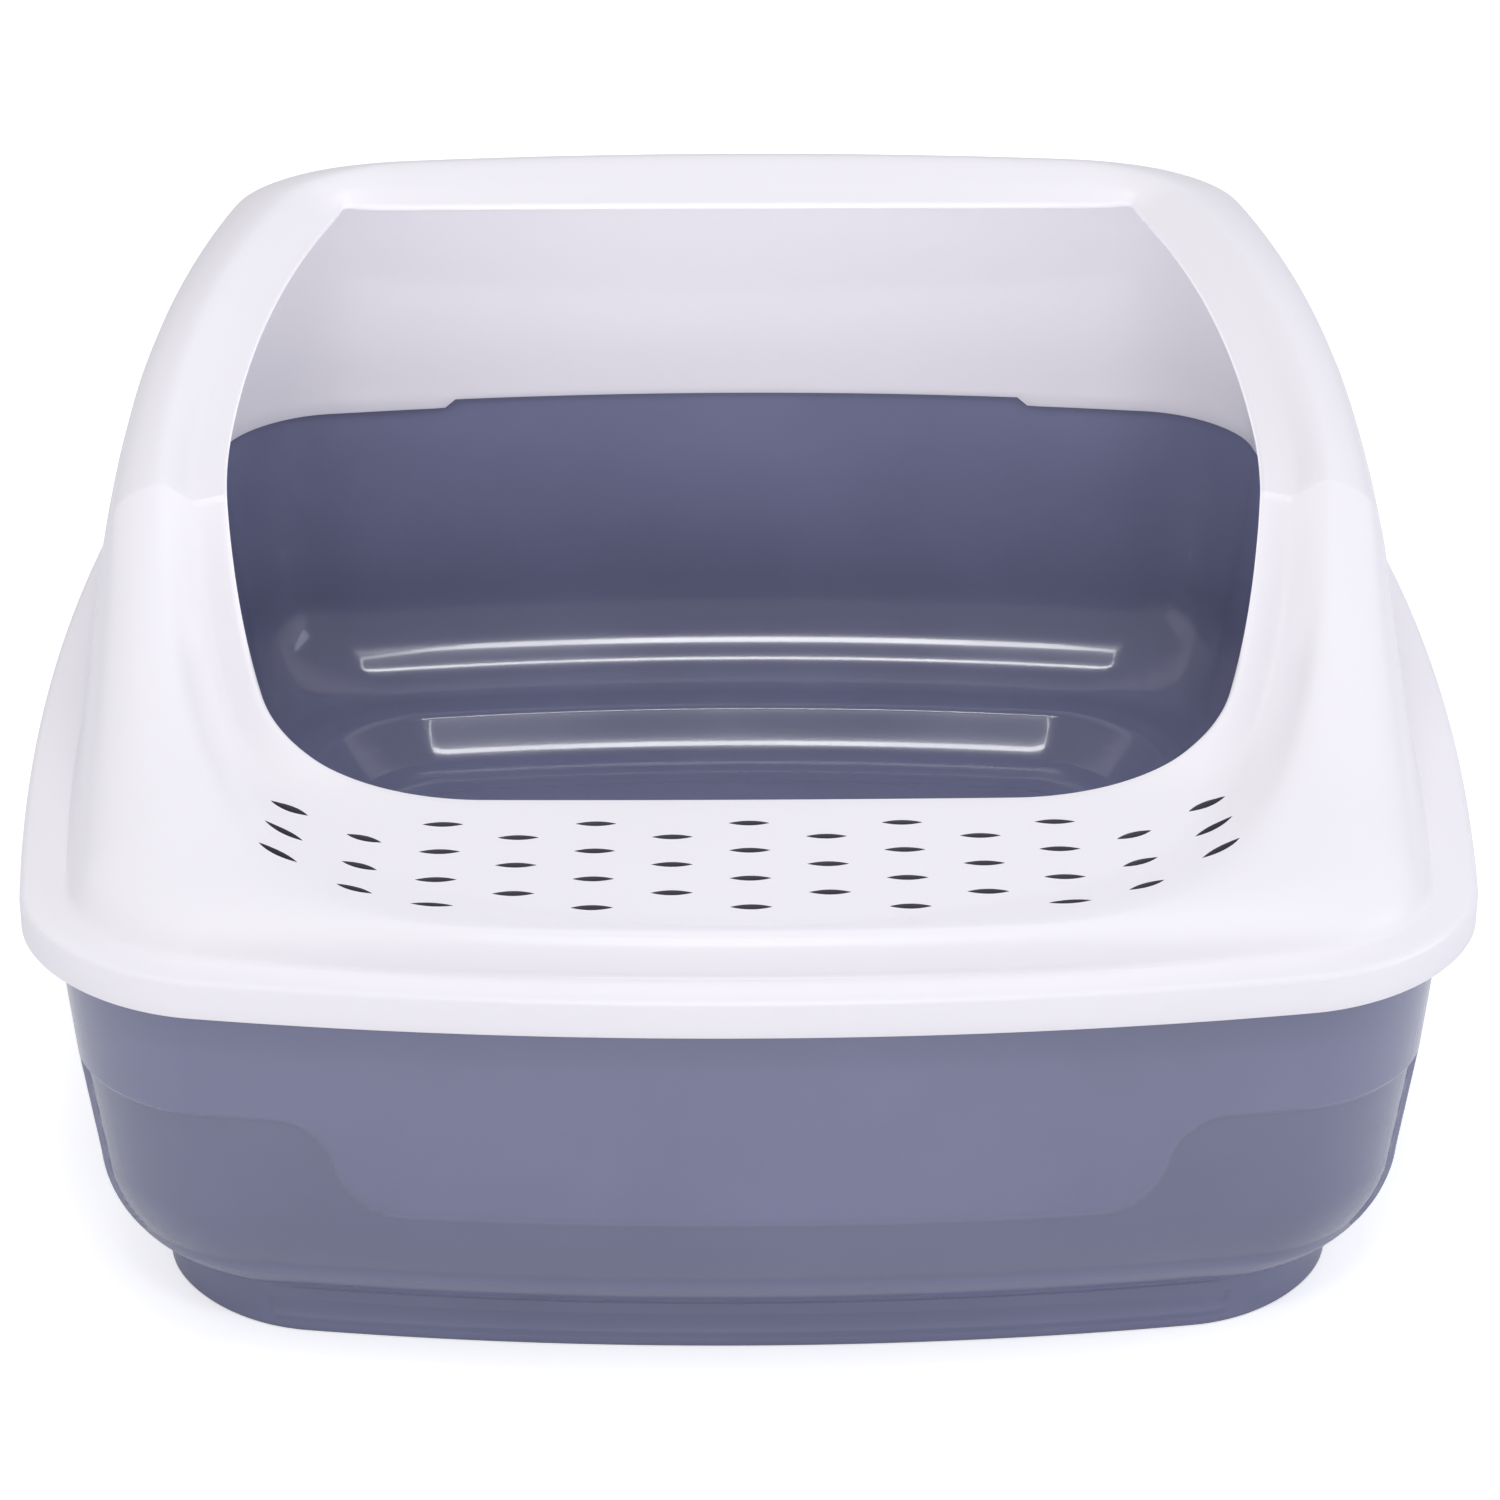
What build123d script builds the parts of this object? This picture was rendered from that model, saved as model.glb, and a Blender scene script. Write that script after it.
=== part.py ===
from build123d import *
import os
from math import atan2, cos, hypot, pi, radians, sin, sqrt, tan

# Litter tray with a lift-off high rim.
# Millimetres, +Z up. The origin is on the floor under the middle of the tray.
# The low entry faces -Y and the high back faces +Y.

# Overall plan, measured at the skirt of the high rim
overall_width = 400.0
overall_length = 470.0
side_bow = 1240.0            # radius of the gently bowed long sides
end_bow = 850.0              # radius of the bowed front and back
plan_corner = 40.0           # corner radius of the skirt in plan

# Heights above the floor
rim_seat_height = 121.5      # top of the tray's rim, where the high rim rests
back_height = 207.5          # crown of the high rim at the back
crease_height = 182.5        # crown of the high rim where the side starts to sweep down
ridge_height = 134.0         # ridge in front of the entry shelf
shelf_height = 131.6         # perforated entry shelf
back_lip_height = 200.0      # edge of the opening at the back
crease_lip_height = 177.0    # edge of the opening at the crease
crease_valley_height = 176.3 # gutter between crown and opening at the crease
gutter_back_drop = 2.5       # gutter below the crown at the back

# Walls
tray_wall = 2.0              # thinnest stretches, at the recessed fields
hood_wall = 2.4

# Tray body
wall_top_inset = 8.2         # skirt outline to the tray wall, under the rim
band_height = 80.0           # lower edge of the upper band
band_bottom_inset = 12.0
turn_height = 50.0           # height where the wall turns into the bottom curve
turn_inset = 16.0
turn_fullness = 1.6          # 2 is a quarter ellipse, 1 a straight slope
plinth_height = 13.5
plinth_inset_side = 32.0
plinth_inset_end = 37.0
plinth_corner = 34.0
curve_foot_inset = 3.0       # the bottom curve ends this far inside the plinth's face
plinth_chamfer = 1.0

# Inside of the tray: a ledge above the plinth and a dished floor with a raised field
ledge_height = 15.5
dish_edge_inset = 18.0       # plinth's face to the edge where the floor dips
dish_run = 12.0              # plan length of the curve from that edge to the floor
dish_corner_shrink = 0.33    # how much the dish's corners tighten for each mm inward
dish_fullness = 1.08         # 2 is a quarter ellipse, 1 a straight slope
floor_thickness = 2.4
floor_field_inset_side = 70.0
floor_field_inset_end = 92.0
floor_field_corner = 30.0
floor_field_rise = 0.8
foot_wall = 3.0              # the plinth is hollow from below, this thick outside

# Recessed fields between the upper band, the front panel and the side panels
field_depth = 1.2
field_bottom = 27.0
front_panel_bottom = 51.0
front_panel_half_top = 109.0
front_panel_half_bottom = 101.5
panel_corner = 12.0
side_panel_half_length = 182.0

# Shallow field on the front and back of the plinth
plinth_field_half = 128.0
plinth_field_depth = 0.7
plinth_field_top = 10.0
plinth_field_bottom = 3.0

# Rolled rim of the tray
rim_clearance = 0.8          # between the tray's rim and the skirt, each side
rim_drop = 9.5               # how far the rolled edge hangs below the seat
rim_plate = 2.4

# High rim: skirt, flat strip and inner lip
skirt_height = 10.0          # visible height of the skirt
inner_lip_clearance = 0.6    # between the inner lip and the tray wall
inner_lip_drop = 9.0         # how far the inner lip hangs below the seat
lip_notch_half = 100.0       # the inner lip is shorter at the middle of the back
lip_notch_rise = 3.0
lip_notch_depth = 28.0       # front to back, clear of the lip on both sides
skirt_edge_round = 2.0
sheet_margin = 8.0           # how far the moulded sheet is made past the opening's edge

# High rim: crown line in plan
crown_half_width = 166.5
crown_front = 216.0
crown_back = 197.0
crown_front_bow = 430.0
crown_back_bow = 640.0
crown_front_corner = 35.0
crown_back_corner = 28.0

# High rim: gutter line in plan
gutter_half_width = 157.0
gutter_front = 208.0
gutter_back = 186.0
gutter_front_bow = 300.0
gutter_back_bow = 640.0
gutter_front_corner = 45.0
gutter_back_corner = 18.0

# Opening in plan
opening_half_width = 148.3
opening_front = 136.0
opening_back = 168.5
opening_front_bow = 300.0
opening_back_bow = 680.0
opening_end_bow = 6000.0
opening_front_corner = 40.0
opening_back_corner = 3.0

# High rim: rounded shoulder between the wall's foot and the crown, as fractions of the
# run and rise from foot to crown, for a low wall (front) and a high one (back)
low_shoulder_run = 0.34
low_shoulder_rise = 0.74
high_shoulder_run = 0.44
high_shoulder_rise = 0.93
low_wall_rise = 12.0         # height over the strip up to which a wall counts as low
high_wall_rise = 60.0        # further rise over which it turns into a high one
flank_run = 0.45             # point on the steep flank, fractions of the way to the shoulder
flank_rise = 0.66
shoulder_round = 0.75
lip_lift = 0.3               # how much of the gutter's slope goes on past the opening's edge
lip_back_corner = 12.0       # rounding of the sheet's own line at the opening's back corners
line_samples = 2             # points on each stretch of the sheet's line
crown_index = 4              # stretches from the foot to the crown

crease_y = -37.0             # where the side of the high rim breaks into the sweep
crown_fall = 2.5             # exponent of the crown's sweep down to the ridge
gutter_fall = 1.8
lip_fall = 1.4

# Slots in the entry shelf
slot_length = 10.4
slot_width = 2.8
slot_pitch_x = 20.0
slot_pitch_y = 15.9
slot_first_row = 151.0       # distance of the row nearest the opening from the middle
slot_columns = 5             # columns each side of the middle one
corner_slot_x = 121.0
corner_slot_row = 141.0
corner_slot_pitch = 15.4
corner_slot_turn = 40.0
corner_slot_length = 13.5
outer_slot_turn = 28.0
shelf_half_width = 107.5     # flat middle of the shelf
shelf_front_half = 88.0
shelf_near = 145.0
shelf_near_half = 92.0
shelf_side_near = 155.0
shelf_corner = 195.0
shelf_far = 202.0

section_pitch = 10.0         # spacing of the moulded sheet's sections along the rim
sheet_overrun = 0.14         # radians past the middle plane, trimmed away

half_width = overall_width / 2
half_length = overall_length / 2
strip_top = rim_seat_height + hood_wall


class Outline:
    """A bowed rectangle with rounded corners, in plan, symmetric left to right."""

    def __init__(self, half_w, front, back, front_corner, back_corner,
                 front_bow, back_bow, ends):
        self.half_w = half_w
        self.front = front
        self.back = back
        self.front_corner = front_corner
        self.back_corner = back_corner
        self.front_bow = front_bow
        self.back_bow = back_bow
        self.ends = ends

    def beyond(self, x, y):
        """Signed distance from the outline, positive outside."""
        at_front = y < 0
        end = self.front if at_front else self.back
        corner = self.front_corner if at_front else self.back_corner
        bow = self.front_bow if at_front else self.back_bow
        side = hypot(abs(x) - (self.half_w - bow), y) - (bow - corner)
        across = hypot(x, abs(y) - (end - self.ends)) - (self.ends - corner)
        outside = hypot(max(side, 0.0), max(across, 0.0))
        return outside + min(max(side, across), 0.0) - corner

    def reach(self, angle):
        """Distance from the middle to the outline at an angle in the plan."""
        near = 0.0
        far = 2 * (self.front + self.back)
        while far - near > 1e-6:
            middle = (near + far) / 2
            if self.beyond(middle * cos(angle), middle * sin(angle)) > 0:
                far = middle
            else:
                near = middle
        return near

    def vertex(self, end, bow):
        """Where the side's arc would meet the end's arc without a rounded corner."""
        y = end
        for _ in range(40):
            x = self.half_w - bow + sqrt(bow ** 2 - y ** 2)
            y = end - self.ends + sqrt(self.ends ** 2 - x ** 2)
        return x, y

    def face(self):
        xf, yf = self.vertex(self.front, self.front_bow)
        xb, yb = self.vertex(self.back, self.back_bow)
        edges = []
        for side in (1, -1):
            for x, y, bow, sign in ((xf, yf, self.front_bow, -1), (xb, yb, self.back_bow, 1)):
                half_y = y / 2
                half_x = self.half_w - bow + sqrt(bow ** 2 - half_y ** 2)
                edges.append(Edge.make_three_point_arc(
                    (side * self.half_w, 0), (side * half_x, sign * half_y), (side * x, sign * y)))
        edges.append(Edge.make_three_point_arc((xf, -yf), (0, -self.front), (-xf, -yf)))
        edges.append(Edge.make_three_point_arc((xb, yb), (0, self.back), (-xb, yb)))
        face = Face(Wire.combine(edges)[0])
        if face.normal_at().Z < 0:
            face = -face
        front_vertices = [v for v in face.vertices() if v.Y < -yf / 2]
        face = face.fillet_2d(self.front_corner, front_vertices)
        back_vertices = [v for v in face.vertices() if v.Y > yb / 2 and abs(v.X) > xb - 1]
        return face.fillet_2d(self.back_corner, back_vertices)


def plan(inset_side, inset_end=None, corner=None):
    """The skirt's outline moved inward."""
    if inset_end is None:
        inset_end = inset_side
    if corner is None:
        corner = plan_corner - inset_side
    return Outline(half_width - inset_side, half_length - inset_end, half_length - inset_end,
                   corner, corner, side_bow - inset_side, side_bow - inset_side,
                   end_bow - inset_end)


def block(outline, bottom, top):
    return extrude(Pos(0, 0, bottom) * outline.face(), top - bottom)


def ring(outer, inner, bottom, top):
    return block(outer, bottom, top) - block(inner, bottom - 1, top + 1)


def tower(levels):
    """Smooth solid through (height, outline) levels."""
    return loft([Pos(0, 0, height) * outline.face() for height, outline in levels])


def turn_levels(depth, foot_inset_side, foot_inset_end, foot_corner, foot_height):
    """Levels of the rounded bottom, from its foot up to the wall."""
    levels = []
    steps = 6
    share = 2 / turn_fullness
    for i in range(steps + 1):
        angle = pi / 2 * i / steps
        height = foot_height + (turn_height - foot_height) * (1 - cos(angle) ** share)
        part = sin(angle) ** share
        side = foot_inset_side + (turn_inset + depth - foot_inset_side) * part
        end = foot_inset_end + (turn_inset + depth - foot_inset_end) * part
        corner = foot_corner + (plan_corner - turn_inset - depth - foot_corner) * part
        levels.append((height, plan(side, end, corner)))
    return levels


def tray_body(depth, foot_height, top):
    """Tray outside (depth 0) or the same form set in by depth."""
    foot_side = plinth_inset_side + curve_foot_inset + depth
    foot_end = plinth_inset_end + curve_foot_inset + depth
    bottom = tower(turn_levels(depth, foot_side, foot_end, plinth_corner - depth, foot_height))
    wall = loft([
        Pos(0, 0, turn_height) * plan(turn_inset + depth).face(),
        Pos(0, 0, band_height) * plan(band_bottom_inset + depth).face(),
    ], ruled=True)
    rise = (rim_seat_height - band_height)
    slope = (band_bottom_inset - wall_top_inset) / rise
    top_inset = band_bottom_inset - slope * (top - band_height)
    band = loft([
        Pos(0, 0, band_height) * plan(band_bottom_inset + depth).face(),
        Pos(0, 0, top) * plan(top_inset + depth).face(),
    ], ruled=True)
    return bottom + wall + band


def field_mask():
    """Where the wall is set back: all round below the band, but not on the four panels."""
    room = 2 * half_length
    mask = Pos(0, 0, (field_bottom + band_height) / 2) * Box(
        room, room, band_height - field_bottom)
    flare = front_panel_half_top + 2 * panel_corner
    panel = Polygon(
        (-flare, band_height + panel_corner),
        (-flare, band_height),
        (-front_panel_half_top, band_height),
        (-front_panel_half_bottom, front_panel_bottom),
        (front_panel_half_bottom, front_panel_bottom),
        (front_panel_half_top, band_height),
        (flare, band_height),
        (flare, band_height + panel_corner),
        align=None)
    panel = fillet([v for v in panel.vertices() if abs(v.X) < flare - 1], panel_corner)
    front_panel = extrude(Plane.XZ * panel, room / 2, both=True)
    side_panel = Pos(0, 0, (field_bottom + band_height) / 2) * Box(
        room, 2 * side_panel_half_length, band_height - field_bottom)
    middle = Pos(0, 0, (field_bottom + band_height) / 2) * Box(
        2 * (front_panel_half_top + 1), room, band_height - field_bottom)
    return mask - front_panel - (side_panel - middle)


def dish(depth):
    """The dip inside the plinth, a concave curve from the ledge to the floor."""
    levels = []
    steps = 4
    share = 2 / dish_fullness
    top = ledge_height + 1
    for i in range(steps + 1):
        angle = pi / 2 * i / steps
        height = floor_thickness + (top - floor_thickness) * (1 - cos(angle) ** share)
        inset = dish_edge_inset + dish_run * (1 - sin(angle) ** share) - depth
        levels.append((height - depth, plan(
            plinth_inset_side + inset, plinth_inset_end + inset,
            plinth_corner - dish_corner_shrink * inset)))
    return tower(levels)


def plinth_hollow():
    """Ring-shaped hollow under the plinth, between its outer wall and the dish."""
    roof = ledge_height - tray_wall - field_depth
    outer = block(plan(plinth_inset_side + foot_wall, plinth_inset_end + foot_wall,
                       plinth_corner - foot_wall), -1, roof)
    inner = plan(plinth_inset_side + dish_edge_inset + dish_run - foot_wall,
                 plinth_inset_end + dish_edge_inset + dish_run - foot_wall,
                 plinth_corner - foot_wall)
    return outer - block(inner, -2, floor_thickness) - dish(foot_wall)


def tray_base():
    outside = tray_body(0.0, plinth_height, rim_seat_height)
    set_back = tray_body(field_depth, plinth_height, rim_seat_height)
    outside = outside - (field_mask() - set_back)

    plinth = block(plan(plinth_inset_side, plinth_inset_end, plinth_corner), 0, plinth_height + 1)
    plinth = chamfer(plinth.edges().group_by(Axis.Z)[0], plinth_chamfer)
    field_middle = (plinth_field_bottom + plinth_field_top) / 2
    field_room = Box(2 * plinth_field_half, overall_length, plinth_height)
    field = ring(
        plan(plinth_inset_side, plinth_inset_end - foot_wall, plinth_corner),
        plan(plinth_inset_side, plinth_inset_end + plinth_field_depth, plinth_corner),
        plinth_field_bottom, plinth_field_top)
    field = field & Pos(0, 0, field_middle) * field_room
    plinth = plinth - field

    hollow = tray_body(tray_wall + field_depth, ledge_height, rim_seat_height + 1)
    rim_outer = plan(hood_wall + rim_clearance)
    rim_inner = plan(hood_wall + rim_clearance + tray_wall)
    rolled_edge = ring(rim_outer, rim_inner, rim_seat_height - rim_drop, rim_seat_height)
    plate = block(rim_outer, rim_seat_height - rim_plate, rim_seat_height)
    floor_field = block(
        plan(floor_field_inset_side, floor_field_inset_end, floor_field_corner),
        floor_thickness / 2, floor_thickness + floor_field_rise)
    shell = outside + plinth + plate + rolled_edge - hollow - dish(0.0)
    return shell + floor_field - plinth_hollow()


def strip_inset():
    """Skirt outline to the inner lip, clear of the tray wall at the lip's lower edge."""
    lean = (band_bottom_inset - wall_top_inset) / (rim_seat_height - band_height)
    return (wall_top_inset + lean * inner_lip_drop + tray_wall + field_depth
            + inner_lip_clearance)


def foot_outline():
    return plan(strip_inset())


def crown_outline():
    return Outline(crown_half_width, crown_front, crown_back, crown_front_corner,
                   crown_back_corner, crown_front_bow, crown_back_bow, end_bow)


def gutter_outline():
    return Outline(gutter_half_width, gutter_front, gutter_back, gutter_front_corner,
                   gutter_back_corner, gutter_front_bow, gutter_back_bow, end_bow)


def opening_outline():
    return Outline(opening_half_width, opening_front, opening_back, opening_front_corner,
                   opening_back_corner, opening_front_bow, opening_back_bow, opening_end_bow)


def lip_outline(margin):
    """The opening's line with rounder back corners, moved inward by a margin."""
    return Outline(opening_half_width - margin, opening_front - margin, opening_back - margin,
                   opening_front_corner - margin, lip_back_corner - margin,
                   opening_front_bow - margin, opening_back_bow - margin, opening_end_bow)


def sweep_height(y, start, end, high, low, exponent):
    """Height of a line that falls from the crease to the front in a concave sweep."""
    part = min(max((start - y) / (start - end), 0.0), 1.0)
    return low + (high - low) * (1 - part) ** exponent


def rear_part(y):
    """0 at the back of the crown and 1 at the crease."""
    return min(max((crown_back - y) / (crown_back - crease_y), 0.0), 1.0)


def crown_height(y):
    if y < crease_y:
        return sweep_height(y, crease_y, -crown_front, crease_height, ridge_height, crown_fall)
    return back_height - (back_height - crease_height) * rear_part(y) ** 2


def gutter_height(y, crease):
    if y < crease:
        return sweep_height(y, crease, -opening_front, crease_valley_height, shelf_height,
                            gutter_fall)
    crease_drop = crease_height - crease_valley_height
    drop = gutter_back_drop + (crease_drop - gutter_back_drop) * rear_part(y)
    return crown_height(y) - drop


def lip_height(y, crease):
    if y < crease:
        return sweep_height(y, crease, -opening_front, crease_lip_height, shelf_height, lip_fall)
    back_drop = back_height - back_lip_height
    crease_drop = crease_height - crease_lip_height
    return crown_height(y) - back_drop - (crease_drop - back_drop) * rear_part(y) ** 4


def smooth(points, samples):
    """Points on a curve through the given ones that never overshoots them."""
    spans = [hypot(b[0] - a[0], b[1] - a[1]) for a, b in zip(points, points[1:])]
    slopes = []
    for axis in (0, 1):
        steps = [(b[axis] - a[axis]) / s for a, b, s in zip(points, points[1:], spans)]
        line = [steps[0]]
        for left, right, s0, s1 in zip(steps, steps[1:], spans, spans[1:]):
            if left * right <= 0:
                line.append(0.0)
            else:
                w0 = 2 * s1 + s0
                w1 = s1 + 2 * s0
                line.append((w0 + w1) / (w0 / left + w1 / right))
        line.append(steps[-1])
        slopes.append(line)
    result = []
    for i, span in enumerate(spans):
        for k in range(samples):
            t = k / samples
            h00 = (1 + 2 * t) * (1 - t) ** 2
            h10 = t * (1 - t) ** 2
            h01 = t ** 2 * (3 - 2 * t)
            h11 = t ** 2 * (t - 1)
            result.append(tuple(
                h00 * points[i][axis] + h10 * span * slopes[axis][i]
                + h01 * points[i + 1][axis] + h11 * span * slopes[axis][i + 1]
                for axis in (0, 1)))
    result.append(points[-1])
    return result


def offset_line(points, stretch, thickness):
    """The line moved to its inner side by the wall's thickness."""
    moved = []
    for i, (r, z) in enumerate(points):
        before = points[max(i - 1, 0)]
        after = points[min(i + 1, len(points) - 1)]
        dr = (after[0] - before[0]) / stretch
        dz = after[1] - before[1]
        length = hypot(dr, dz)
        moved.append((r - thickness * stretch * dz / length, z + thickness * dr / length))
    return moved


def crease_place(outline):
    """How far back the crease crosses an outline."""
    angle = atan2(crease_y, crown_half_width)
    return outline.reach(angle) * sin(angle)


def hood_line(angle):
    """Outer line of the moulded sheet at this angle, from the strip to past the opening."""
    foot = foot_outline().reach(angle)
    crown = crown_outline().reach(angle)
    gutter = gutter_outline().reach(angle)
    lip = lip_outline(0.0).reach(angle)
    end = lip_outline(sheet_margin).reach(angle)
    crown_z = crown_height(crown * sin(angle))
    gutter_z = gutter_height(gutter * sin(angle), crease_place(gutter_outline()))
    lip_z = lip_height(lip * sin(angle), crease_place(lip_outline(0.0)))
    run = foot - crown
    rise = crown_z - strip_top
    rear = min(max((rise - low_wall_rise) / high_wall_rise, 0.0), 1.0)
    shoulder = (
        foot - (low_shoulder_run + (high_shoulder_run - low_shoulder_run) * rear) * run,
        strip_top + (low_shoulder_rise + (high_shoulder_rise - low_shoulder_rise) * rear) * rise)
    below = (
        foot - flank_run * (foot - shoulder[0]),
        strip_top + flank_rise * (shoulder[1] - strip_top))
    above = (
        (shoulder[0] + crown) / 2,
        shoulder[1] + shoulder_round * (crown_z - shoulder[1]))
    past = (end, lip_z + lip_lift * (lip_z - gutter_z))
    line = [(foot, strip_top), below, shoulder, above, (crown, crown_z), (gutter, gutter_z),
            (lip, lip_z), past]
    return smooth(line, line_samples)


def section_wire(angle):
    """Closed section of the moulded sheet, inner lip included, at this angle."""
    def place(point):
        return Vector(point[0] * cos(angle), point[0] * sin(angle), point[1])

    stretch = (plan(0).reach(angle) - foot_outline().reach(angle)) / strip_inset()
    outer = hood_line(angle)
    inner = offset_line(outer, stretch, hood_wall)
    gutter = (crown_index + 1) * line_samples
    edges = []
    for line in (outer, inner):
        tangent = place(line[gutter + 1]) - place(line[gutter])
        wall = Edge.make_spline([place(point) for point in line[:gutter + 1]],
                                tangents=[Vector(0, 0, 1), tangent])
        shelf = Edge.make_spline([place(point) for point in line[gutter:]],
                                 tangents=[tangent, place(line[-1]) - place(line[-2])])
        edges += [wall, shelf]
    lip_bottom = rim_seat_height - inner_lip_drop
    corners = [inner[0], (inner[0][0], lip_bottom), (outer[0][0], lip_bottom), outer[0]]
    for start, end in zip(corners, corners[1:]):
        edges.append(Edge.make_line(place(start), place(end)))
    edges.append(Edge.make_line(place(outer[-1]), place(inner[-1])))
    return Wire(edges)


def even_angles(start, end):
    """Directions from start to end, evenly spaced along the middle of the moulded sheet."""
    fine = 800
    middle = plan((foot_outline().half_w - gutter_half_width) / 2)
    angles = [start + (end - start) * i / fine for i in range(fine + 1)]
    points = [(middle.reach(a) * cos(a), middle.reach(a) * sin(a)) for a in angles]
    travelled = [0.0]
    for p, q in zip(points, points[1:]):
        travelled.append(travelled[-1] + hypot(q[0] - p[0], q[1] - p[1]))
    count = round(travelled[-1] / section_pitch)
    chosen = [start]
    for i in range(1, count):
        wanted = travelled[-1] * i / count
        k = next(j for j, length in enumerate(travelled) if length >= wanted)
        share = (wanted - travelled[k - 1]) / (travelled[k] - travelled[k - 1])
        chosen.append(angles[k - 1] + share * (angles[k] - angles[k - 1]))
    return chosen + [end]


def sheet(start, end):
    """Right half of the moulded sheet between two directions, made past the middle plane."""
    stretch = Solid.make_loft([section_wire(angle) for angle in even_angles(start, end)])
    right = Pos(half_width, 0, 0) * Box(overall_width, 2 * overall_length, 4 * back_height)
    opening = block(opening_outline(), rim_seat_height, back_height + skirt_height)
    return (stretch & right) - opening


def skirt():
    """Flat strip over the tray's rim and the skirt that hangs outside it."""
    plate = ring(plan(0), plan(strip_inset() + hood_wall / 2), rim_seat_height, strip_top)
    wall = ring(plan(0), plan(hood_wall), strip_top - skirt_height, strip_top)
    body = plate + wall
    top_edges = body.edges().filter_by(lambda e: abs(e.center().Z - strip_top) < 0.01)
    outer_edges = [e for e in top_edges if plan(1.0).beyond(e.center().X, e.center().Y) > 0]
    return fillet(outer_edges, skirt_edge_round)


def lip_notch():
    """Shorter stretch of the inner lip at the middle of the back."""
    bottom = rim_seat_height - inner_lip_drop
    return Pos(0, half_length - strip_inset(), bottom) * Box(
        2 * lip_notch_half, lip_notch_depth, 2 * lip_notch_rise)


def slot_shape(length):
    """Lens-shaped slot in plan."""
    half = length / 2
    bulge = slot_width / 2
    edges = [
        Edge.make_three_point_arc((-half, 0), (0, bulge), (half, 0)),
        Edge.make_three_point_arc((half, 0), (0, -bulge), (-half, 0)),
    ]
    return Face(Wire(edges))


def slot_cutters(places, length):
    cutters = []
    for x, y, turn in places:
        shape = Pos(x, y, rim_seat_height) * Rot(0, 0, turn) * slot_shape(length)
        cutters.append(extrude(shape, 2 * (ridge_height - rim_seat_height), dir=(0, 0, 1)))
    return cutters


def shelf_slots():
    """Staggered slots in the flat shelf: four rows and three rows by turns."""
    places = []
    for column in range(-slot_columns, slot_columns + 1):
        four = column % 2 == 0
        rows = 4 if four else 3
        shift = 0.0 if four else slot_pitch_y / 2
        turn = 0.0
        if abs(column) == slot_columns:
            turn = outer_slot_turn if column > 0 else -outer_slot_turn
        for row in range(rows):
            y = -(slot_first_row + shift + row * slot_pitch_y)
            places.append((column * slot_pitch_x, y, turn))
    return slot_cutters(places, slot_length)


def corner_slots():
    """Three slanted slots at the right-hand corner of the shelf."""
    places = [
        (corner_slot_x, -(corner_slot_row + row * corner_slot_pitch), corner_slot_turn)
        for row in range(3)]
    return slot_cutters(places, corner_slot_length)


def shelf_window(bottom, top):
    """The flat middle of the shelf, the stretch that carries the rows of slots."""
    face = Polygon(
        (-shelf_half_width, -shelf_side_near),
        (-shelf_half_width, -shelf_corner),
        (-shelf_front_half, -shelf_far),
        (shelf_front_half, -shelf_far),
        (shelf_half_width, -shelf_corner),
        (shelf_half_width, -shelf_side_near),
        (shelf_near_half, -shelf_near),
        (-shelf_near_half, -shelf_near),
        align=None)
    return extrude(Pos(0, 0, bottom) * face, top - bottom, dir=(0, 0, 1))


def high_rim():
    crease = atan2(crease_y, crown_half_width)
    window = shelf_window(shelf_height - 2 * hood_wall, shelf_height + 2 * hood_wall)
    front = sheet(-pi / 2 - sheet_overrun, crease) - window - corner_slots()
    rear = sheet(crease, pi / 2 + sheet_overrun) - lip_notch()
    right = front + rear
    shelf = shelf_window(shelf_height - hood_wall, shelf_height) - shelf_slots()
    return right + mirror(right, Plane.YZ) + shelf + skirt()


if __name__ == "__main__":
    os.makedirs("parts", exist_ok=True)
    export_step(tray_base(), "parts/tray_base.step")
    export_step(high_rim(), "parts/high_rim.step")
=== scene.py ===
import math

import bmesh
import bpy
import numpy as np
from bpy.props import FloatProperty, FloatVectorProperty, IntProperty, PointerProperty
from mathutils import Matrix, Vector


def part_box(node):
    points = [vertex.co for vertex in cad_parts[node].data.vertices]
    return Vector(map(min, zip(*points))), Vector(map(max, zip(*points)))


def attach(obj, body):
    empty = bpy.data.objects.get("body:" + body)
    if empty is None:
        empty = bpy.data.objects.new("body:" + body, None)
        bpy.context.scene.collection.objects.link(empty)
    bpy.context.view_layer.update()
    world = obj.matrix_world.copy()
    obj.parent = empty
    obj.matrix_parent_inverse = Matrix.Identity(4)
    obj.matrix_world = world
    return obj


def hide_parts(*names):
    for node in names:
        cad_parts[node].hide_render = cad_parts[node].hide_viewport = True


bl_info = {
    "name": "Litter tray with a lift-off high rim",
    "version": (1, 0, 0),
    "blender": (4, 5, 0),
    "location": "View3D > Sidebar > Litter tray",
    "description": "Builds the tray, its high rim and a plain studio",
    "category": "Object",
}

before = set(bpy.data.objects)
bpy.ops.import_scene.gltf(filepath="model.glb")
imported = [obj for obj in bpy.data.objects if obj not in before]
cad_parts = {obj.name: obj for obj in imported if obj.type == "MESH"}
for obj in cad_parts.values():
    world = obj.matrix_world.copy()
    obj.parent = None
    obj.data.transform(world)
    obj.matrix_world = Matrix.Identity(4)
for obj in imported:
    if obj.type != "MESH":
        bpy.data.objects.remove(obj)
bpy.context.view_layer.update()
RIM_LOW, RIM_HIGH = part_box("high_rim")
TRAY_LOW, TRAY_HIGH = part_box("tray_base")
MM = 0.001


# Colours and shader helpers

def linear(hex_colour):
    """An sRGB hex colour as linear red, green, blue and alpha."""
    channels = []
    for i in (0, 2, 4):
        c = int(hex_colour[i:i + 2], 16) / 255
        channels.append(c / 12.92 if c <= 0.04045 else ((c + 0.055) / 1.055) ** 2.4)
    return (*channels, 1.0)


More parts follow.
